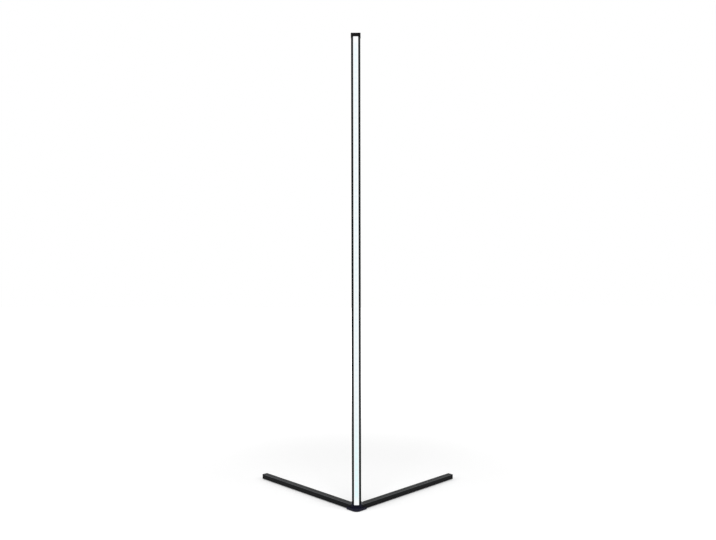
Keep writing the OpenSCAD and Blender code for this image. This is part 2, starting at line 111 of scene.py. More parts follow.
class LampStage(bpy.types.PropertyGroup):
    """Camera, lamps and background."""
    camera_distance: length("Camera distance", 2249, "From the column's middle to the camera, on the floor")
    camera_height: length("Camera height", 776.8, "Height of the camera above the floor")
    camera_side: length("Camera side step", 5.55, "Step of the camera to the right of the lamp's middle")
    camera_turn: angle("Camera turn", 0.536, "How far round the lamp the camera stands, to its right")
    camera_pitch: angle("Camera pitch", 1.4645, "How far the camera looks down")
    camera_roll: angle("Camera roll", -0.109, "Tilt of the camera about its own axis")
    camera_lens: number(
        "Lens", 37.85, "Focal length on a sensor 36 mm wide", min=1, subtype="DISTANCE_CAMERA")
    floor_size: length("Floor size", 16000, "Side of the square floor")
    floor_drop: length("Floor drop", 0.2, "Hairline between the floor and the pads")
    floor_colour: colour("Floor colour", "#f2f2f2")
    world_level: number("World level", 0.45, "Strength of the even light from all round", min=0)
    floor_lift: number("Floor lift", 0.18, "What the floor adds to its light on its way to the camera", min=0)
    floor_near: length("Floor's plain part", 500, "Distance from the lamp up to which the floor is plain")
    floor_far: length("Floor's white part", 2500, "Distance from the lamp past which the floor is white")
    key_power: number(
        "Key lamp", 80, "Power of the large lamp above the front", min=0, subtype="POWER", unit="POWER")
    fill_power: number(
        "Fill lamps", 20, "Power of each lamp at the sides", min=0, subtype="POWER", unit="POWER")


class LampColours(bpy.types.PropertyGroup):
    """Colours of the finishes."""
    column: colour("Column", "#0e1213")
    diffuser: colour("Diffuser", "#f2fafc")
    diffuser_low: colour("Diffuser's lower end", "#e3fdff")
    diffuser_spot: colour("Spots over the lights", "#e9f5f9")
    diffuser_edge: colour("Diffuser's edges", "#fcfeff")
    cap: colour("Caps", "#070708")
    connector: colour("Base connector", "#161626")
    leg: colour("Legs", "#0e0f10")
    # Painted highlight: the paler tone that the legs' rounded edges get in place of light catching them
    leg_edge: colour("Legs' rounded edges", "#5e6063")
    rubber: colour("Rubber", "#1a1a1a")
    dust: colour("Dust on the rubber", "#4a4845")
    screw: colour("Screws", "#2b2c2e")
    aluminium: colour("Joiner bars", "#b9bcbf")
    tape: colour("Tape", "#e8e4d8")
    resist: colour("Strip's board", "#f1f1ec")
    ink: colour("Lines printed on the board", "#3a3d40")
    tin: colour("Tinned pads", "#c9c6bd")
    package: colour("Light package", "#efeee6")
    phosphor: colour("Phosphor", "#e8c94a")
    resistor: colour("Resistor", "#1d1f22")
    lead_red: colour("Red lead", "#b3261e")
    lead_black: colour("Black lead", "#1a1a1a")
    wire: colour("Wire in the leads", "#c08a5a")
    solder: colour("Solder", "#c4c5c6")
    nylon: colour("Inlet", "#161719")
    nickel: colour("Inlet's pin", "#cfd0cf")
    brass: colour("Inlet's contact", "#d3b273")
    zinc: colour("Nut", "#b4b7ba")


class LampSizes(bpy.types.PropertyGroup):
    """Sizes of the detail that the pieces get here."""
    extrusion_break: length("Extrusion edges", 0.2, "Rounding of the column's cut and drawn edges")
    casting_break: length("Casting edges", 0.35, "Rounding of the base connector's edges")
    moulding_break: length("Moulding edges", 0.25, "Rounding of the moulded caps' edges")
    tube_break: length("Tube edges", 0.12, "Rounding of the legs' sawn edges")
    bar_break: length("Bar edges", 0.4, "Chamfer of the joiner bars")
    pad_break: length("Pad edges", 0.2, "Rounding of the base pad's edges")
    screw_head: length("Screw head", 5.6, "Diameter of the countersunk heads")
    screw_head_depth: length("Screw head depth", 1.4, "Height of the countersunk heads")
    screw_thread: length("Screw thread", 3.0, "Outer diameter of the thread")
    screw_core: length("Screw core", 2.46, "Core diameter of the thread")
    screw_pitch: length("Screw pitch", 0.5, "Pitch of the thread")
    slot_width: length("Slot", 14.7, "Width of the diffuser's face between the column's lips")
    diffuser_wall: length("Diffuser wall", 1.2, "Wall of the diffuser")
    diffuser_crown: length("Diffuser crown", 1.0, "Rise of the diffuser's middle above its edges")
    unit_length: length("Strip unit", 50, "Length of one cutting unit of the strip")
    lead_diameter: length("Lead", 1.4, "Diameter of the insulated leads")
    lead_spacing: length("Lead spacing", 4.4, "Distance between the leads on the strip")
    barrel: length("Inlet barrel", 8, "Diameter of the inlet's threaded barrel")
    inlet_flange: length("Inlet flange", 1.6, "Thickness of the inlet's flange")
    inlet_bore: length("Inlet bore", 6.2, "Diameter of the plug hole")
    inlet_bore_depth: length("Inlet bore depth", 9.6, "Depth of the plug hole")


# ---- Materials ----

def add_node(tree, kind, inputs=None, **settings):
    """Adds one shader node. Inputs map a socket to a value, to an output, or to a node's first output."""
    made = tree.nodes.new("ShaderNode" + kind)
    for name, value in settings.items():
        setattr(made, name, value)
    for socket, value in (inputs or {}).items():
        if isinstance(value, bpy.types.Node):
            value = next(output for output in value.outputs if output.enabled)
        if isinstance(value, bpy.types.NodeSocket):
            tree.links.new(value, made.inputs[socket])
        else:
            made.inputs[socket].default_value = value
    return made


def emptied(owner):
    """What adds nodes to the emptied tree of a material or a world."""
    owner.use_nodes = True
    owner.node_tree.nodes.clear()
    return partial(add_node, owner.node_tree)


def new_material(name):
    """An empty material, what adds its nodes, and the place on the piece that its patterns read."""
    made = bpy.data.materials.new(name)
    add = emptied(made)
    return made, add, add("TexCoord").outputs["Object"]


def finished(made, shader):
    """The material, with its shader led to its output."""
    add_node(made.node_tree, "OutputMaterial", {"Surface": shader})
    return made


def shared(make, colours):
    """A material that several operators use, made by the first of them."""
    return bpy.data.materials.get(make.__name__) or make(colours)


def per_metre(mm):
    """Texture scale of a pattern whose grain is that many millimetres."""
    return 1 / (mm * MM)


def darker(tone, share):
    """The same colour at a share of its light."""
    return [c * share for c in tone[:3]] + [1]


def draw_lines(add, place, across_mm, along_mm, detail):
    """The fine lines that drawing leaves, from a grain stretched along Z."""
    stretched = add("Mapping", {
        "Vector": place, "Scale": (per_metre(across_mm), per_metre(across_mm), per_metre(along_mm))})
    return add("TexNoise", {"Vector": stretched, "Scale": 1, "Detail": detail})


def grained(name, base, grain, rough, relief, clouds=None, shade=None, edge=None, finish=None):
    """A finish with a fine grain to feel, and a slower change of tone and shine to see.

    Grain and clouds are a size in millimetres and a number of finer steps, rough is the roughness at both
    ends, relief is the bump's strength and its depth in millimetres, shade is how far the tone darkens,
    and edge is a painted highlight: the paler tone of the faces that are marked as a bend.
    """
    made, add, place = new_material(name)
    fine = broad = add("TexNoise", {"Vector": place, "Scale": per_metre(grain[0]), "Detail": grain[1]})
    if clouds:
        broad = add("TexNoise", {"Vector": place, "Scale": per_metre(clouds[0]), "Detail": clouds[1]})
    tone = base
    if shade:
        tone = add("Mix", {"Factor": broad, "A": base, "B": darker(base, shade)}, data_type="RGBA")
    # Painted highlight: faces marked as a bend take the paler edge tone
    if edge:
        bend = add("Attribute", attribute_name="bend")
        tone = add("Mix", {"Factor": bend.outputs["Fac"], "A": tone, "B": edge}, data_type="RGBA")
    shine = add("MapRange", {"Value": broad, "To Min": rough[0], "To Max": rough[1]})
    bump = add("Bump", {"Height": fine, "Strength": relief[0], "Distance": relief[1] * MM})
    return finished(made, add("BsdfPrincipled", {
        "Base Color": tone, "Roughness": shine, "Normal": bump, **(finish or {})}))


def speckled(name, base, grain_mm, roughness, ior=1.5, metallic=0, depth_mm=0.01):
    """Small pieces whose one finish is a fine uneven tone: plated, fired or moulded."""
    return grained(
        name, base, grain=(grain_mm, 3), rough=(roughness - 0.06, roughness + 0.06), relief=(0.25, depth_mm),
        shade=0.8, finish={"Metallic": metallic, "IOR": ior})


def black_anodised_aluminium(colours):
    """Drawn aluminium, dyed black and sealed: fine lines along the draw, and a satin film over dark metal."""
    made, add, place = new_material("black_anodised_aluminium")
    lines = draw_lines(add, place, 0.4, 3000, 1)
    clouds = add("TexNoise", {"Vector": place, "Scale": per_metre(60), "Detail": 2})
    rough = add("MapRange", {
        "Value": lines, "From Min": 0.3, "From Max": 0.7, "To Min": 0.34, "To Max": 0.38})
    dye = add("Mix", {
        "Factor": clouds, "A": colours.column, "B": darker(colours.column, 0.8)}, data_type="RGBA")
    bump = add("Bump", {"Height": lines, "Strength": 0.1, "Distance": 0.01 * MM})
    return finished(made, add("BsdfPrincipled", {
        "Base Color": dye, "Metallic": 0.9, "Roughness": rough, "Normal": bump,
        "Coat Weight": 0.03, "Coat Roughness": 0.3, "Coat IOR": 1.6}))


def mill_finish_aluminium(colours):
    """Bare extruded bar: bright metal with draw lines along its length."""
    made, add, place = new_material("mill_finish_aluminium")
    lines = draw_lines(add, place, 0.3, 40, 3)
    rough = add("MapRange", {"Value": lines, "To Min": 0.28, "To Max": 0.5})
    bump = add("Bump", {"Height": lines, "Strength": 0.3, "Distance": 0.01 * MM})
    return finished(made, add("BsdfPrincipled", {
        "Base Color": colours.aluminium, "Metallic": 1, "Roughness": rough, "Normal": bump}))


def blackened_steel(colours):
    """Cut steel screws, blackened in a bath: dark metal with an uneven satin."""
    return grained(
        "blackened_steel", colours.screw, grain=(0.8, 3), rough=(0.25, 0.5), relief=(0.2, 0.01), shade=0.6,
        finish={"Metallic": 1})


def moulded_abs(colours):
    """Black ABS from a spark-eroded mould: a fine even grain that breaks up the shine."""
    return grained(
        "moulded_abs", colours.cap, grain=(0.35, 2), clouds=(15, 1), rough=(0.38, 0.52), relief=(0.35, 0.03),
        finish={"IOR": 1.53, "Specular IOR Level": 0.06})


def enamelled_zinc(colours):
    """Die-cast zinc under a smooth blue-black enamel: glossy, with the faint waviness of stoved paint."""
    return grained(
        "enamelled_zinc", colours.connector, grain=(2.5, 1), clouds=(12, 4), rough=(0.22, 0.36),
        relief=(0.15, 0.05), finish={"IOR": 1.5, "Specular IOR Level": 0.12})


def powder_coated_steel(colours):
    """Steel tube under black powder coat: satin and pebbled, with a painted highlight: a paler tone on the
    faces that lean at the rounded edges.
    """
    return grained(
        "powder_coated_steel", colours.leg, grain=(1.2, 2), clouds=(35, 3), rough=(0.4, 0.52),
        relief=(0.3, 0.05), shade=0.75, edge=colours.leg_edge,
        finish={"IOR": 1.5, "Specular IOR Level": 0.09})


def moulded_rubber(colours):
    """Pads of black rubber: dull, with a fine dusty grain."""
    made, add, place = new_material("moulded_rubber")
    grain = add("TexNoise", {"Vector": place, "Scale": per_metre(0.6), "Detail": 4})
    dust = add("MapRange", {"Value": grain, "From Min": 0.45, "From Max": 0.8, "To Max": 0.25})
    tone = add("Mix", {"Factor": dust, "A": colours.rubber, "B": colours.dust}, data_type="RGBA")
    bump = add("Bump", {"Height": grain, "Strength": 0.4, "Distance": 0.04 * MM})
    return finished(made, add("BsdfPrincipled", {
        "Base Color": tone, "Roughness": 0.8, "IOR": 1.52, "Normal": bump}))


def paper_tape(colours):
    """Adhesive tape on a paper carrier: matt, with short fibres."""
    made, add, place = new_material("paper_tape")
    fibres = add("TexNoise", {"Vector": place, "Scale": per_metre(0.8), "Detail": 5, "Distortion": 1.5})
    tone = add("Mix", {"Factor": fibres, "A": colours.tape, "B": darker(colours.tape, 0.8)}, data_type="RGBA")
    bump = add("Bump", {"Height": fibres, "Strength": 0.3, "Distance": 0.02 * MM})
    return finished(made, add("BsdfPrincipled", {
        "Base Color": tone, "Roughness": 0.85, "IOR": 1.47, "Normal": bump}))


def white_solder_resist(colours, start, unit):
    """White solder resist on a flexible board: silky, with two tracks below it and a line at each cut."""
    half_line, track_middle, track_half = 0.15 * MM, 3.6 * MM, 0.6 * MM
    made, add, place = new_material("white_solder_resist")
    axes = add("SeparateXYZ", {"Vector": place})
    units = add("MapRange", {
        "Value": axes.outputs["Z"], "From Min": start, "From Max": start + unit}, clamp=False)
    from_cut = add("Math", {0: units, 1: 0.5}, operation="PINGPONG")
    ink = add("Math", {0: from_cut, 1: half_line / unit}, operation="LESS_THAN")
    tone = add("Mix", {"Factor": ink, "A": colours.resist, "B": colours.ink}, data_type="RGBA")
    across = add("Math", {0: axes.outputs["X"]}, operation="ABSOLUTE")
    track = add("Math", {0: across, 1: track_middle, 2: track_half}, operation="COMPARE")
    bump = add("Bump", {"Height": track, "Strength": 0.5, "Distance": 0.03 * MM})
    return finished(made, add("BsdfPrincipled", {
        "Base Color": tone, "Roughness": 0.42, "IOR": 1.5, "Normal": bump}))


def opal_acrylic(colours, first_light, pitch, foot, top):
    """Opal acrylic lit from behind: an even milky glow with a faint spot over each light."""
    made, add, place = new_material("opal_acrylic")
    axes = add("SeparateXYZ", {"Vector": place})
    height = axes.outputs["Z"]
    off_axis = add("Math", {0: axes.outputs["X"]}, operation="ABSOLUTE")
    # One wave for each light along the column
    along = add("MapRange", {
        "Value": height, "From Min": first_light, "From Max": first_light + pitch,
        "To Min": 0, "To Max": 2 * math.pi}, clamp=False)
    wave = add("Math", {0: along}, operation="COSINE")
    crest = add("MapRange", {"Value": wave, "From Min": -0.2})
    # The spots show in the face's middle, the lower part glows cooler, and the face's edges and its two
    # ends catch more of the light that the walls throw back
    middle_part, lower_part, edge, foot_end, top_end = [
        add("MapRange", {
            "Value": value, "From Min": none, "From Max": full}, interpolation_type="SMOOTHSTEP")
        for value, none, full in (
            (off_axis, 5 * MM, 1 * MM), (height, foot + 340 * MM, foot + 60 * MM),
            (off_axis, 3.5 * MM, 7 * MM), (height, foot + 30 * MM, foot + 8 * MM),
            (height, top - 30 * MM, top - 8 * MM))]
    spot = add("Math", {0: crest, 1: middle_part}, operation="MULTIPLY")
    ends = add("Math", {0: top_end, 1: foot_end}, operation="MAXIMUM")
    white = add("Math", {0: ends, 1: edge}, operation="MAXIMUM")
    glow = colours.diffuser
    for share, tone in ((lower_part, colours.diffuser_low), (spot, colours.diffuser_spot),
                        (white, colours.diffuser_edge)):
        glow = add("Mix", {"Factor": share, "A": glow, "B": tone}, data_type="RGBA")
    grain = add("TexNoise", {"Vector": place, "Scale": per_metre(0.5), "Detail": 2})
    bump = add("Bump", {"Height": grain, "Strength": 0.1, "Distance": 0.01 * MM})
    return finished(made, add("BsdfPrincipled", {
        "Base Color": darker(colours.diffuser, 0.08), "Roughness": 0.55, "IOR": 1.49, "Normal": bump,
        "Emission Color": glow, "Emission Strength": 0.895, "Specular IOR Level": 0.25}))


# ---- Modelling by hand, in code ----

def at(x, y, z):
    """A move to that place."""
    return Matrix.Translation((x, y, z))


def pick(obj):
    """Only this object is selected and active."""
    bpy.ops.object.select_all(action="DESELECT")
    obj.select_set(True)
    bpy.context.view_layer.objects.active = obj


@contextmanager
def editing(obj, kind="FACE"):
    """Edit mode on one object, with nothing selected."""
    pick(obj)
    bpy.ops.object.mode_set(mode="EDIT")
    bpy.ops.mesh.select_mode(type=kind)
    bpy.ops.mesh.select_all(action="DESELECT")
    yield
    bpy.ops.object.mode_set(mode="OBJECT")


def choose(obj, test, kind="faces"):
    """Selects the faces, edges or vertices of the edited mesh that pass the test, and no others."""
    bpy.ops.mesh.select_all(action="DESELECT")
    mesh = bmesh.from_edit_mesh(obj.data)
    for item in getattr(mesh, kind):
        item.select_set(bool(test(item)))
    mesh.select_flush_mode()
    bmesh.update_edit_mesh(obj.data)


def merge_doubles():
    """Merges the points of the edited mesh that lie on each other, and leaves all selected."""
    bpy.ops.mesh.select_all(action="SELECT")
    bpy.ops.mesh.remove_doubles(threshold=MERGE)


def face_outwards():
    """Turns the faces of the edited mesh to look out of it."""
    bpy.ops.mesh.select_all(action="SELECT")
    bpy.ops.mesh.normals_make_consistent(inside=False)


def slide(x=0, y=0, z=0):
    """Extrudes what is selected that far."""
    bpy.ops.mesh.extrude_region_move(TRANSFORM_OT_translate={"value": (x, y, z)})


def middle(item):
    """Middle of an edge or a face."""
    return sum((v.co for v in item.verts), Vector()) / len(item.verts)


def sharp(edge):
    """Whether the edge's two faces meet at more than the smooth angle."""
    return edge.is_manifold and edge.calc_face_angle(0) > SMOOTH_ANGLE


def apply_modifier(obj, kind, **settings):
    """One modifier, set and applied."""
    pick(obj)
    modifier = obj.modifiers.new(kind.lower(), kind)
    for name, value in settings.items():
        setattr(modifier, name, value)
    bpy.ops.object.modifier_apply(modifier=modifier.name)


def started(name, add, **settings):
    """A primitive, added with nothing else selected, and its place put into its mesh."""
    bpy.ops.object.select_all(action="DESELECT")
    add(**settings)
    made = bpy.context.active_object
    made.name = name
    bpy.ops.object.transform_apply(location=True, rotation=True, scale=True)
    return made


def block(name, low, high):
    """A box between two corners."""
    low, high = Vector(low), Vector(high)
    return started(name, bpy.ops.mesh.primitive_cube_add, size=1, location=(low + high) / 2, scale=high - low)


def lathe(name, rings, vertices=48):
    """A turned solid: a disc extruded from ring to ring, each a radius and a height, then closed."""
    radius, height = rings[0]
    made = started(
        name, bpy.ops.mesh.primitive_circle_add, vertices=vertices, radius=radius, location=(0, 0, height))
    with editing(made, "EDGE"):
        bpy.ops.mesh.select_all(action="SELECT")
        bpy.ops.mesh.edge_face_add()
        for new_radius, new_height in rings[1:]:
            slide(z=new_height - height)
            share = new_radius / radius
            bpy.ops.transform.resize(value=(share, share, 1), center_override=(0, 0, new_height))
            radius, height = new_radius, new_height
        choose(made, lambda edge: edge.is_boundary, "edges")
        bpy.ops.mesh.edge_face_add()
        face_outwards()
    return made


def turned(obj, matrix):
    """Puts the object's mesh where the matrix says."""
    obj.data.transform(matrix)
    return obj


def joined(name, objects):
    """Several meshes as one piece."""
    pick(objects[0])
    for obj in objects:
        obj.select_set(True)
    bpy.ops.object.join()
    objects[0].name = name
    return objects[0]


def drop(obj):
    """Removes a helper object."""
    bpy.data.objects.remove(obj, do_unlink=True)


def linked(name, mesh):
    """A new object of the mesh, in the scene."""
    made = bpy.data.objects.new(name, mesh)
    bpy.context.scene.collection.objects.link(made)
    return made


def repeated(obj, places, name):
    """Copies of the object at all the places, joined as one. The object itself goes."""
    copies = [turned(linked(name + "_copy", obj.data.copy()), place) for place in places]
    drop(obj)
    return joined(name, copies)


def cut(obj, tool, operation="DIFFERENCE"):
    """Cuts one solid with another, removes the tool, and merges the points that the cut leaves doubled."""
    apply_modifier(obj, "BOOLEAN", object=tool, operation=operation, solver="EXACT")
    drop(tool)
    with editing(obj, "VERT"):
        merge_doubles()


def paint(obj, *materials):
    """The object's material slots, in order."""
    obj.data.materials.clear()
    for material in materials:
        obj.data.materials.append(material)
    return obj


def mark_bends(obj):
    """Marks each face from 0, where it is level or upright, to 1, where it leans at 45 degrees. The legs'
    paint uses it for a painted highlight on their rounded edges.
    """
    marks = obj.data.attributes.new("bend", "FLOAT", "FACE")
    for face, mark in zip(obj.data.polygons, marks.data):
        rise = face.normal.z ** 2
        mark.value = 4 * rise * (1 - rise)


def settle(obj, slot, node, *materials):
    """The finished piece gets its materials and its smooth faces, and stands for its CAD node.

    Real edges stay crisp, and flat faces stay flat beside a rounding.
    """
    if materials:
        paint(obj, *materials)
    pick(obj)
    bpy.ops.object.shade_smooth_by_angle(angle=SMOOTH_ANGLE)
    apply_modifier(obj, "WEIGHTED_NORMAL", keep_sharp=True)
    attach(obj, BODY)
    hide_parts(node)
    return obj


def dressed(node, name, slot, finish, edge_break, segments=2):
    """A merged copy of a CAD node, with its flat triangles joined and its sharp edges softly broken."""
    made = linked(name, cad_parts[node].data.copy())
    pick(made)
    if made.data.has_custom_normals:
        bpy.ops.mesh.customdata_custom_splitnormals_clear()
    with editing(made, "EDGE"):
        merge_doubles()
        bpy.ops.mesh.dissolve_limited(angle_limit=FLAT_ANGLE)
        choose(made, sharp, "edges")
        bpy.ops.mesh.bevel(offset=edge_break, segments=segments, profile=0.5, clamp_overlap=True)
        bpy.ops.mesh.select_all(action="SELECT")
        bpy.ops.mesh.dissolve_degenerate(threshold=MERGE)
    return settle(made, slot, node, finish)


def chosen(context):
    """The sizes and the colours that a user may have changed."""
    return context.scene.lamp_sizes, context.scene.lamp_colours


# ---- Operators ----

class LAMP_OT_stage(bpy.types.Operator):
    """Pale floor, white background, soft lamps and the camera"""
    bl_idname = "corner_lamp.stage"
    bl_label = "Stage"

    def execute(self, context):
        stage = context.scene.lamp_stage
        self.floor(stage)
        self.world(context.scene, stage)
        self.lamps(stage)
        self.camera(context.scene, stage)
        context.scene.view_settings.view_transform = "Standard"
        return {"FINISHED"}

    def floor(self, stage):
        """Pale floor that keeps the shadow and can be looked through from below."""
        floor = started("floor", bpy.ops.mesh.primitive_plane_add,
                        size=stage.floor_size, location=(0, 0, -stage.floor_drop))
        made, add, place = new_material("pale_floor")
        rays = add("LightPath")
        # Away from the lamp the floor turns as white as the background
        away = add("VectorMath", {0: place}, operation="LENGTH")
        fade = add("MapRange", {
            "Value": away, "From Min": stage.floor_near, "From Max": stage.floor_far,
            "To Min": stage.floor_lift, "To Max": 1}, interpolation_type="SMOOTHSTEP")
        lift = add("Math", {0: rays.outputs["Is Camera Ray"], 1: fade}, operation="MULTIPLY")
        matt = add("BsdfDiffuse", {"Color": stage.floor_colour})
        glow = add("Emission", {"Strength": lift})
        lit = add("AddShader", {0: matt, 1: glow})
        back = add("NewGeometry").outputs["Backfacing"]
        below = add("Math", {0: back, 1: rays.outputs["Is Camera Ray"]}, operation="MULTIPLY")
        clear = add("BsdfTransparent")
        paint(floor, finished(made, add("MixShader", {0: below, 1: lit, 2: clear})))

    def world(self, scene, stage):
        """White where it is seen or mirrored, and an even soft light for the rest."""
        scene.world = bpy.data.worlds.new("studio")
        add = emptied(scene.world)
        rays = add("LightPath")
        seen = rays.outputs["Is Camera Ray"]
        for kind in ("Is Glossy Ray", "Is Transmission Ray"):
            seen = add("Math", {0: seen, 1: rays.outputs[kind]}, operation="MAXIMUM")
        strength = add("MapRange", {"Value": seen, "To Min": stage.world_level, "To Max": 1})
        light = add("Background", {"Color": linear("#ffffff"), "Strength": strength})
        add("OutputWorld", {"Surface": light})

    def lamps(self, stage):
        """A large lamp above the front and one at each side, all aimed at the lamp's lower half."""
        aim = Vector((0, 0, 0.5))
        for name, place, size, energy in (
                ("key_lamp", (0, -2.4, 3.6), 2.4, stage.key_power),
                ("left_lamp", (-2.4, -1.0, 1.6), 1.6, stage.fill_power),
                ("right_lamp", (2.4, -1.0, 1.6), 1.6, stage.fill_power)):
            light = bpy.data.lights.new(name, "AREA")
            light.size = size
            light.energy = energy
            lamp = linked(name, light)
            lamp.location = place
            lamp.rotation_euler = (aim - lamp.location).to_track_quat("-Z", "Y").to_euler()

    def camera(self, scene, stage):
        """The camera stands in front of the lamp, a little above its middle."""
        view = bpy.data.cameras.new("camera")
        view.sensor_width = SENSOR_WIDTH
        view.lens = stage.camera_lens
        camera = linked("camera", view)
        turn = Matrix.Rotation(stage.camera_turn, 4, "Z")
        place = turn @ Vector((stage.camera_side, -stage.camera_distance, stage.camera_height))
        look = Matrix.Rotation(math.pi / 2 - stage.camera_pitch, 4, "X")
        roll = Matrix.Rotation(stage.camera_roll, 4, "Z")
        camera.matrix_world = at(*place) @ turn @ look @ roll
        scene.camera = camera


class LAMP_OT_column(bpy.types.Operator):
    """The three extruded sections of the column and the bars that join them"""
    bl_idname = "corner_lamp.column"
    bl_label = "Column"

    def execute(self, context):
        sizes, colours = chosen(context)
        finish = black_anodised_aluminium(colours)
        for node in SECTIONS:
            dressed(node, node + "_section", "anodised_black", finish, sizes.extrusion_break)
        dressed("column_joiners", "joiner_bars", "bare_aluminium", mill_finish_aluminium(colours),
                sizes.bar_break, segments=1)
        return {"FINISHED"}


class LAMP_OT_diffuser(bpy.types.Operator):
    """The opal face over the whole height of the column"""
    bl_idname = "corner_lamp.diffuser"
    bl_label = "Diffuser"

    def execute(self, context):
        sizes, colours = chosen(context)
        low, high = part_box("light_diffuser")
        half = sizes.slot_width / 2
        crown = sizes.diffuser_crown
        radius = (half * half + crown * crown) / (2 * crown)
        edge_y = low.y + crown
        flange_y = high.y - sizes.diffuser_wall
        # An upright edge of a plane, spun about the dome's axis
        face = started("opal_face", bpy.ops.mesh.primitive_plane_add, size=1, rotation=(math.pi / 2, 0, 0))
        turned(face, at(0, edge_y, (low.z + high.z) / 2) @ Matrix.Diagonal((2 * half, 1, high.z - low.z, 1)))
        with editing(face, "VERT"):
            choose(face, lambda v: v.co.x > 0, "verts")
            bpy.ops.mesh.delete(type="VERT")
            bpy.ops.mesh.select_all(action="SELECT")
            bpy.ops.mesh.spin(
                steps=24, angle=2 * math.asin(half / radius), center=(0, low.y + radius, 0), axis=(0, 0, -1))
            # Webs back into the slot, then flanges behind the lips
            bpy.ops.mesh.select_mode(type="EDGE")
            choose(face, self.side_edge(half), "edges")
            slide(y=flange_y - edge_y)
            for side in SIDES:
                choose(face, self.side_edge(half, side, flange_y), "edges")
                slide(x=side * (high.x - half))
            merge_doubles()
            face_outwards()
        # The faces of this open sheet look to the front
        if sum(polygon.normal.y * polygon.area for polygon in face.data.polygons) > 0:
            face.data.flip_normals()
        apply_modifier(face, "SOLIDIFY", thickness=sizes.diffuser_wall, offset=-1, use_even_offset=True)
        lights_low, lights_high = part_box("strip_leds")
        first_light = lights_low.z + (lights_high.x - lights_low.x) / 2
        pitch = sizes.unit_length / LIGHTS_A_UNIT
        opal = opal_acrylic(colours, first_light, pitch, low.z, high.z)
        settle(face, "opal_diffuser", "light_diffuser", opal)
        return {"FINISHED"}

    @staticmethod
    def side_edge(half, side=0, y=None):
        """A test for the upright open edges at the face's sides, or at one side and depth."""
        def test(edge):
            place = middle(edge)
            upright = abs(edge.verts[0].co.z - edge.verts[1].co.z) > half
            at_side = abs(abs(place.x) - half) < CLOSE and (side == 0 or place.x * side > 0)
            return edge.is_boundary and upright and at_side and (y is None or abs(place.y - y) < CLOSE)
        return test


class LAMP_OT_light_strip(bpy.types.Operator):
    """The light strip: tape, board with pads, light chips and resistors"""
    bl_idname = "corner_lamp.light_strip"
    bl_label = "Light strip"

    def execute(self, context):
        sizes, colours = chosen(context)
        tin = speckled("tinned_copper", colours.tin, 0.4, 0.35, metallic=1)
        paint(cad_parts["strip_tape"], paper_tape(colours))
        self.board(sizes, colours, tin)
        self.lights(sizes, colours, tin)
        self.resistors(sizes, colours, tin)
        return {"FINISHED"}

    def board(self, sizes, colours, tin):
        """A thin board with tinned pads on both sides of each cutting line."""
        pad_w, pad_h, pad_t, from_cut = 2.4 * MM, 1.8 * MM, 0.03 * MM, 0.4 * MM
        low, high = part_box("strip_board")
        board = block("board_core", low, high)
        paint(board, white_solder_resist(colours, low.z, sizes.unit_length))
        pad = block("pad", (-pad_w / 2, low.y - pad_t, -pad_h / 2), (pad_w / 2, low.y + pad_t, pad_h / 2))
        heights = [low.z + line * sizes.unit_length + side * (from_cut + pad_h / 2)
                   for line in range(round((high.z - low.z) / sizes.unit_length) + 1) for side in SIDES]
        places = [at(side * sizes.lead_spacing / 2, 0, z)
                  for z in heights if low.z < z < high.z for side in SIDES]
        pads = repeated(paint(pad, tin), places, "pads")
        settle(joined("flexible_board", [board, pads]), "strip_board", "strip_board")

    def lights(self, sizes, colours, tin):
        """Each light is a white package with a phosphor window and three terminals a side."""
        rim, sunk = 0.5 * MM, 0.15 * MM
        window_r, window_edge, window_t, window_sunk = 1.85 * MM, 0.15 * MM, 0.3 * MM, 0.05 * MM
        terminal_out, terminal_in, terminal_h, terminal_half = 0.2 * MM, 0.1 * MM, 0.5 * MM, 0.4 * MM
        terminal_pitch = 1.6 * MM
        low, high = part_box("strip_leds")
        half = (high.x - low.x) / 2
        side_x = half - terminal_out
        body = block("package", (-side_x, low.y, -half), (side_x, high.y, half))
        with editing(body):
            choose(body, lambda face: face.normal.y < -FACING)
            bpy.ops.mesh.inset(thickness=rim)
            slide(y=sunk)
        paint(body, speckled("moulded_package", colours.package, 0.5, 0.45, ior=1.55))
        window = lathe("window", [
            (window_r - window_edge, 0), (window_r, 0.08 * MM), (window_r, window_t)], 16)
        turned(window, at(0, low.y + window_sunk, 0) @ TO_BACK)
        paint(window, speckled("phosphor_silicone", colours.phosphor, 0.3, 0.3, ior=1.41))
        parts = [body, window]
        for side in SIDES:
            x0, x1 = sorted((side * (side_x - terminal_in), side * half))
            for row in (-1, 0, 1):
                z = row * terminal_pitch
                terminal = block("terminal", (x0, high.y - terminal_h, z - terminal_half),
                                 (x1, high.y, z + terminal_half))
                parts.append(paint(terminal, tin))
        lights = repeated(joined("light", parts), self.row(sizes, low.z, high.z, 2 * half), "light_chips")
        settle(lights, "led_package", "strip_leds")

    def resistors(self, sizes, colours, tin):
        """Each resistor is a dark chip with tinned ends."""
        width, end, glass_sunk = 1.6 * MM, 0.55 * MM, 0.05 * MM
        low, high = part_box("strip_resistors")
        half = (high.x - low.x) / 2
        chip = block("chip", (-half, low.y, -width / 2), (half, high.y, width / 2))
        with editing(chip):
            for side in SIDES:
                bpy.ops.mesh.select_all(action="SELECT")
                bpy.ops.mesh.bisect(plane_co=(side * (half - end), 0, 0), plane_no=(1, 0, 0))
            choose(chip, lambda face: face.normal.y < -FACING and abs(middle(face).x) < half - end)
            slide(y=glass_sunk)
        paint(chip, speckled("fired_glass", colours.resistor, 0.3, 0.25, ior=1.52), tin)
        for face in chip.data.polygons:
            face.material_index = int(abs(face.center.x) > half - end)
        chips = repeated(chip, self.row(sizes, low.z, high.z, width), "chip_resistors")
        settle(chips, "resistor", "strip_resistors")

    @staticmethod
    def row(sizes, low_z, high_z, width):
        """Places up the strip, one for each light."""
        pitch = sizes.unit_length / LIGHTS_A_UNIT
        count = round((high_z - low_z - width) / pitch) + 1
        return [at(0, 0, low_z + width / 2 + i * pitch) for i in range(count)]


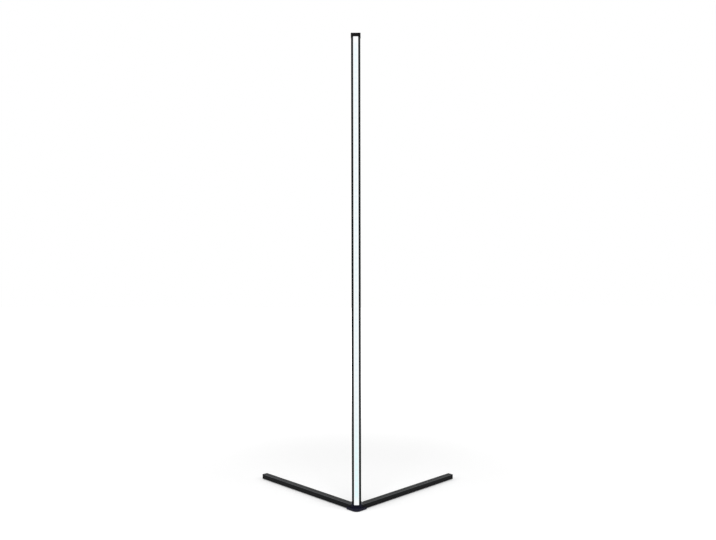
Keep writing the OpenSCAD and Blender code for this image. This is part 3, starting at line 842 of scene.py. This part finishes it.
class LAMP_OT_leads(bpy.types.Operator):
    """The two insulated leads from the inlet to the strip, with their solder"""
    bl_idname = "corner_lamp.leads"
    bl_label = "Leads"

    def execute(self, context):
        sizes, colours = chosen(context)
        solder = speckled("tin_solder", colours.solder, 0.6, 0.25, metallic=1)
        wire = speckled("tinned_wire", colours.wire, 0.3, 0.3, metallic=1)
        for name, side, tail, base in (("red", 1, "inlet_pin", colours.lead_red),
                                       ("black", -1, "inlet_contact", colours.lead_black)):
            coat = speckled("pvc_" + name, base, 0.5, 0.38, ior=1.53)
            lead = self.lead(sizes, name, side, tail, coat, wire, solder)
            settle(lead, "lead_" + name, "lead_" + name)
        return {"FINISHED"}

    def lead(self, sizes, name, side, tail, coat, wire, solder):
        """Insulation over a bare wire that shows at both soldered ends."""
        bare_start, bare_end, wire_share = 0.8 * MM, 2.2 * MM, 0.45
        tail_low, tail_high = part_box(tail)
        board_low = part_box("strip_board")[0]
        lead_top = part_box("lead_" + name)[1].z
        bend = sizes.lead_diameter
        radius = sizes.lead_diameter / 2
        x = side * sizes.lead_spacing / 2
        lie_y = board_low.y - radius
        tail_z = (tail_low.z + tail_high.z) / 2
        points = [
            Vector((0, tail_low.y, tail_z)),
            Vector((0, tail_low.y - bend, tail_z)),
            Vector((x, tail_low.y - bend / 2, tail_z + 2 * bend)),
            Vector((x, lie_y, board_low.z - bend)),
            Vector((x, lie_y, lead_top)),
        ]
        skin = self.tube(name + "_skin", self.trimmed(points, bare_start, bare_end), radius)
        core = self.tube(name + "_core", points, radius * wire_share)
        # The solder's rings, in shares of the lead's radius
        shares = ((0.25, 0), (0.9, 0.25), (1, 0.8), (0.5, 2.2))
        joint = lathe(name + "_solder", [(r * radius, z * radius) for r, z in shares], 16)
        turned(joint, at(x, lie_y, lead_top - shares[-1][1] * radius))
        return joined(name + "_lead", [paint(skin, coat), paint(core, wire), paint(joint, solder)])

    @staticmethod
    def trimmed(points, start, end):
        """The same route, cut shorter at both ends."""
        first = points[0] + (points[1] - points[0]).normalized() * start
        last = points[-1] + (points[-2] - points[-1]).normalized() * end
        return [first] + points[1:-1] + [last]

    @staticmethod
    def tube(name, points, radius):
        """A round tube along smooth bends."""
        line = bpy.data.curves.new(name, "CURVE")
        line.dimensions = "3D"
        line.bevel_depth = radius
        line.bevel_resolution = 4
        line.use_fill_caps = True
        line.resolution_u = 6
        spline = line.splines.new("NURBS")
        spline.points.add(len(points) - 1)
        for point, place in zip(spline.points, points):
            point.co = (*place, 1)
        spline.use_endpoint_u = True
        spline.order_u = 3
        pick(linked(name, line))
        bpy.ops.object.convert(target="MESH")
        made = bpy.context.active_object
        with editing(made, "VERT"):
            merge_doubles()
            face_outwards()
        return made


class LAMP_OT_inlet(bpy.types.Operator):
    """The power inlet: threaded barrel, pin, spring contact and nut"""
    bl_idname = "corner_lamp.inlet"
    bl_label = "Power inlet"

    def execute(self, context):
        sizes, colours = chosen(context)
        low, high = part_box("inlet_body")
        outward = at(0, high.y, (low.z + high.z) / 2) @ TO_BACK
        self.body(sizes, colours, low, high, outward)
        self.pin(colours, high.y, outward)
        self.contact(colours)
        self.nut(sizes, colours)
        return {"FINISHED"}

    def body(self, sizes, colours, low, high, outward):
        """Flange with a rounded rim, and a barrel with fine thread."""
        mouth, round_r, rim, thread_t, pitch = 0.4 * MM, 0.35 * MM, 0.1 * MM, 0.25 * MM, 0.75 * MM
        thread_end, chamfer_end = 1 * MM, 0.8 * MM
        flange_r = (high.x - low.x) / 2
        bore_r = sizes.inlet_bore / 2
        barrel_r = sizes.barrel / 2
        root_r = barrel_r - thread_t
        depth = high.y - low.y
        under = -sizes.inlet_flange
        rings = [(bore_r, -sizes.inlet_bore_depth), (bore_r, -mouth), (bore_r + mouth, 0),
                 (flange_r - round_r, 0), (flange_r - rim, -rim), (flange_r, -round_r),
                 (flange_r, under), (root_r, under)]
        start = under - mouth
        for i in range(int((depth + start - thread_end) / pitch)):
            rings += [(root_r, start - i * pitch), (barrel_r, start - (i + 0.5) * pitch)]
        rings += [(root_r, chamfer_end - depth), (barrel_r - mouth, -depth)]
        shell = turned(lathe("inlet_shell", rings), outward)
        nylon = speckled("moulded_nylon", colours.nylon, 0.4, 0.45, ior=1.53, depth_mm=0.02)
        settle(shell, "inlet_plastic", "inlet_body", nylon)

    def pin(self, colours, mouth_y, outward):
        """Centre pin with a thin tail and a rounded tip."""
        low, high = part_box("inlet_pin")
        radius = (high.x - low.x) / 2
        tail_r, tail_length, shoulder = radius * 0.6, 2 * MM, 0.2 * MM
        tip = high.y - mouth_y
        tail = low.y - mouth_y
        # The tip's rings, in shares of the pin's radius
        shares = ((1, 0.8), (0.85, 0.35), (0.45, 0))
        rings = [(tail_r, tail), (tail_r, tail + tail_length), (radius, tail + tail_length + shoulder)]
        rings += [(r * radius, tip - z * radius) for r, z in shares]
        pin = turned(lathe("centre_pin", rings, 24), outward)
        settle(pin, "inlet_pin", "inlet_pin", speckled("nickel_plate", colours.nickel, 0.5, 0.18, metallic=1))

    def contact(self, colours):
        """Flat spring with its long edges rounded."""
        rounding, sheet = 0.1 * MM, 1 * MM
        low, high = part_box("inlet_contact")
        strip = block("spring_contact", low, high)
        with editing(strip, "EDGE"):
            choose(strip, lambda edge: abs(edge.verts[0].co.y - edge.verts[1].co.y) > sheet, "edges")
            bpy.ops.mesh.bevel(offset=rounding, segments=2)
        brass = speckled("spring_brass", colours.brass, 0.5, 0.28, metallic=1)
        settle(strip, "inlet_contact", "inlet_contact", brass)

    def nut(self, sizes, colours):
        """Hexagon nut with its corners turned off."""
        chamfer, past = 0.35 * MM, 0.1 * MM
        low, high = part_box("inlet_nut")
        thickness = high.y - low.y
        corner_r = (high.z - low.z) / 2
        # The turning disc is as wide as the corners, and cuts into the flats a little at both faces
        wide = corner_r * 1.02
        end_r = corner_r * math.cos(math.pi / 6) * 0.97
        small = end_r - (wide - end_r) / chamfer * past
        nut = lathe("hexagon_nut", [(corner_r, 0), (corner_r, thickness)], 6)
        disc = [(small, -past), (wide, chamfer), (wide, thickness - chamfer), (small, thickness + past)]
        cut(nut, lathe("disc", disc), "INTERSECT")
        bore_r = sizes.barrel / 2
        cut(nut, lathe("hole", [(bore_r, -1 * MM), (bore_r, thickness + 1 * MM)]))
        turned(nut, at(0, low.y, (low.z + high.z) / 2) @ TO_BACK)
        zinc = speckled("zinc_plated_steel", colours.zinc, 0.7, 0.35, metallic=1)
        settle(nut, "plated_nut", "inlet_nut", zinc)


class LAMP_OT_screws(bpy.types.Operator):
    """Countersunk screws with cross recesses and real threads"""
    bl_idname = "corner_lamp.screws"
    bl_label = "Screws"

    def execute(self, context):
        sizes, colours = chosen(context)
        finish = blackened_steel(colours)
        for node in ("top_cap_screws", "column_screws", "joiner_screws", "leg_screws"):
            low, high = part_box(node)
            reach = high.y - low.y if node == "joiner_screws" else high.z - low.z
            places = self.places(node, low, high, sizes.screw_head / 2)
            screws = repeated(self.screw(sizes, reach), places, node.replace("_screws", "_screw_set"))
            settle(screws, "blackened_steel", node, finish)
        return {"FINISHED"}

    def screw(self, sizes, reach):
        """A screw with its head at z = 0 that points down."""
        rim, rim_round, point, run_out = 0.1 * MM, 0.15 * MM, 1 * MM, 0.4 * MM
        wing_half, wing_t, wing_depth, wing_over = 1.5 * MM, 0.33 * MM, 1.0 * MM, 0.2 * MM
        head_r = sizes.screw_head / 2
        core_r = sizes.screw_core / 2
        thread_r = sizes.screw_thread / 2
        depth = sizes.screw_head_depth
        shank = lathe("screw", [
            (head_r - rim_round, 0), (head_r, -rim), (head_r, -2 * rim), (core_r, -depth),
            (core_r, point - reach), (core_r * 0.45, -reach)], 32)
        # Two crossed wings, narrower at the bottom, cut the recess
        for turn in (0, math.pi / 2):
            wing = block("wing", (-wing_half, -wing_t, -wing_depth), (wing_half, wing_t, wing_over))
            with editing(wing):
                choose(wing, lambda face: face.normal.z < -FACING)
                bpy.ops.transform.resize(value=(0.45, 0.7, 1), center_override=(0, 0, 0))
            cut(shank, turned(wing, Matrix.Rotation(turn, 4, "Z")))
        # A small triangle run down the core makes the thread, with its outermost corner at the crest
        crest = thread_r - core_r
        ridge = started(
            "ridge", bpy.ops.mesh.primitive_circle_add, vertices=3, radius=crest * 0.72,
            rotation=(math.pi / 2, 0, 0), location=(core_r + crest * 0.28, 0, -depth - run_out))
        turned(ridge, at(thread_r - max(v.co.x for v in ridge.data.vertices), 0, 0))
        turns = int((reach - point - depth - 2 * run_out) / sizes.screw_pitch)
        apply_modifier(
            ridge, "SCREW", axis="Z", angle=2 * math.pi, screw_offset=-sizes.screw_pitch,
            iterations=turns, steps=16, render_steps=16, use_merge_vertices=False)
        heights = [v.co.z for v in ridge.data.vertices]
        middle_z = (min(heights) + max(heights)) / 2
        with editing(ridge, "EDGE"):
            for up in (True, False):
                choose(ridge, lambda edge: edge.is_boundary and (middle(edge).z > middle_z) == up, "edges")
                bpy.ops.mesh.edge_face_add()
            face_outwards()
        return joined("screw", [shank, ridge])

    @staticmethod
    def places(node, low, high, head_r):
        """Where the group's screws stand: heads outwards, and shanks in what they hold."""
        if node == "joiner_screws":
            # One above and one below each seam, in the column's back
            seams = [(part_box(a)[1].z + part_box(b)[0].z) / 2 for a, b in zip(SECTIONS, SECTIONS[1:])]
            step = seams[0] - low.z - head_r
            return [at(0, high.y, seam + side * step) @ TO_BACK for seam in seams for side in SIDES]
        x = high.x - head_r
        spots = [(x, (low.y + high.y) / 2)]
        if node == "leg_screws":
            # Two a leg, which runs back at 45 degrees
            run = high.y - low.y - 2 * head_r
            spots = [(x - run, low.y + head_r), (x, high.y - head_r)]
        stand = at(0, 0, high.z) if node == "top_cap_screws" else at(0, 0, low.z) @ UPSIDE_DOWN
        return [at(side * x, y, 0) @ stand for side in SIDES for x, y in spots]


class LAMP_OT_top_cap(bpy.types.Operator):
    """The flat cap on the column's top"""
    bl_idname = "corner_lamp.top_cap"
    bl_label = "Top cap"

    def execute(self, context):
        sizes, colours = chosen(context)
        plastic = shared(moulded_abs, colours)
        dressed("top_cap", "moulded_top_cap", "cap_plastic", plastic, sizes.moulding_break)
        return {"FINISHED"}


class LAMP_OT_base(bpy.types.Operator):
    """The corner connector and its floor pad"""
    bl_idname = "corner_lamp.base"
    bl_label = "Base connector"

    def execute(self, context):
        sizes, colours = chosen(context)
        dressed("base_connector", "corner_connector", "connector_paint", enamelled_zinc(colours),
                sizes.casting_break, segments=3)
        rubber = shared(moulded_rubber, colours)
        dressed("base_pad", "connector_pad", "pad_rubber", rubber, sizes.pad_break)
        return {"FINISHED"}


class LAMP_OT_legs(bpy.types.Operator):
    """The two legs with their end caps"""
    bl_idname = "corner_lamp.legs"
    bl_label = "Legs"

    def execute(self, context):
        sizes, colours = chosen(context)
        coat = powder_coated_steel(colours)
        plastic = shared(moulded_abs, colours)
        for side in NAMED_SIDES:
            # The marked bends get the legs' painted edge highlight
            mark_bends(dressed("leg_" + side, side + "_leg_tube", "leg_paint", coat, sizes.tube_break))
            dressed("tip_cap_" + side, side + "_tip_cap", "cap_plastic", plastic, sizes.moulding_break)
        return {"FINISHED"}


class LAMP_OT_foot_pads(bpy.types.Operator):
    """The rubber pads under the legs' ends"""
    bl_idname = "corner_lamp.foot_pads"
    bl_label = "Foot pads"

    def execute(self, context):
        groove, side_foot, top_round = 0.35 * MM, 0.4 * MM, 0.2 * MM
        rubber = shared(moulded_rubber, chosen(context)[1])
        for side in NAMED_SIDES:
            low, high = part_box("foot_pad_" + side)
            radius = (high.x - low.x) / 2
            height = high.z - low.z
            # Rings from the middle of the sole outwards, in shares of its radius, then up the side
            sole = ((0.15, groove), (0.25, 0), (0.4, 0), (0.45, groove), (0.6, groove), (0.65, 0), (0.9, 0))
            rings = [(share * radius, z) for share, z in sole] + [
                (radius, side_foot), (radius, height - top_round), (radius - top_round, height)]
            place = at((low.x + high.x) / 2, (low.y + high.y) / 2, low.z)
            pad = turned(lathe(side + "_foot_pad", rings), place)
            settle(pad, "pad_rubber", "foot_pad_" + side, rubber)
        return {"FINISHED"}


class LAMP_PT_panel(bpy.types.Panel):
    """Lists the lamp's pieces and its stage"""
    bl_idname = "LAMP_PT_panel"
    bl_label = "Corner lamp"
    bl_space_type = "VIEW_3D"
    bl_region_type = "UI"
    bl_category = "Corner lamp"

    def draw(self, context):
        for operator in OPERATORS:
            self.layout.operator(operator.bl_idname)
        for group in (context.scene.lamp_stage, context.scene.lamp_colours, context.scene.lamp_sizes):
            box = self.layout.box()
            for name in group.bl_rna.properties.keys():
                if name not in ("rna_type", "name"):
                    box.prop(group, name)


GROUPS = {"lamp_stage": LampStage, "lamp_colours": LampColours, "lamp_sizes": LampSizes}
OPERATORS = (
    LAMP_OT_stage, LAMP_OT_column, LAMP_OT_diffuser, LAMP_OT_light_strip, LAMP_OT_leads, LAMP_OT_inlet,
    LAMP_OT_screws, LAMP_OT_top_cap, LAMP_OT_base, LAMP_OT_legs, LAMP_OT_foot_pads,
)


def register():
    for group in GROUPS.values():
        bpy.utils.register_class(group)
    for operator in OPERATORS + (LAMP_PT_panel,):
        bpy.utils.register_class(operator)
    for name, group in GROUPS.items():
        setattr(bpy.types.Scene, name, bpy.props.PointerProperty(type=group))


def unregister():
    for name in GROUPS:
        delattr(bpy.types.Scene, name)
    for operator in (LAMP_PT_panel,) + OPERATORS[::-1]:
        bpy.utils.unregister_class(operator)
    for group in GROUPS.values():
        bpy.utils.unregister_class(group)


def main():
    """Makes the whole lamp."""
    register()
    for operator in OPERATORS:
        group, name = operator.bl_idname.split(".")
        getattr(getattr(bpy.ops, group), name)()


if __name__ == "__main__":
    main()
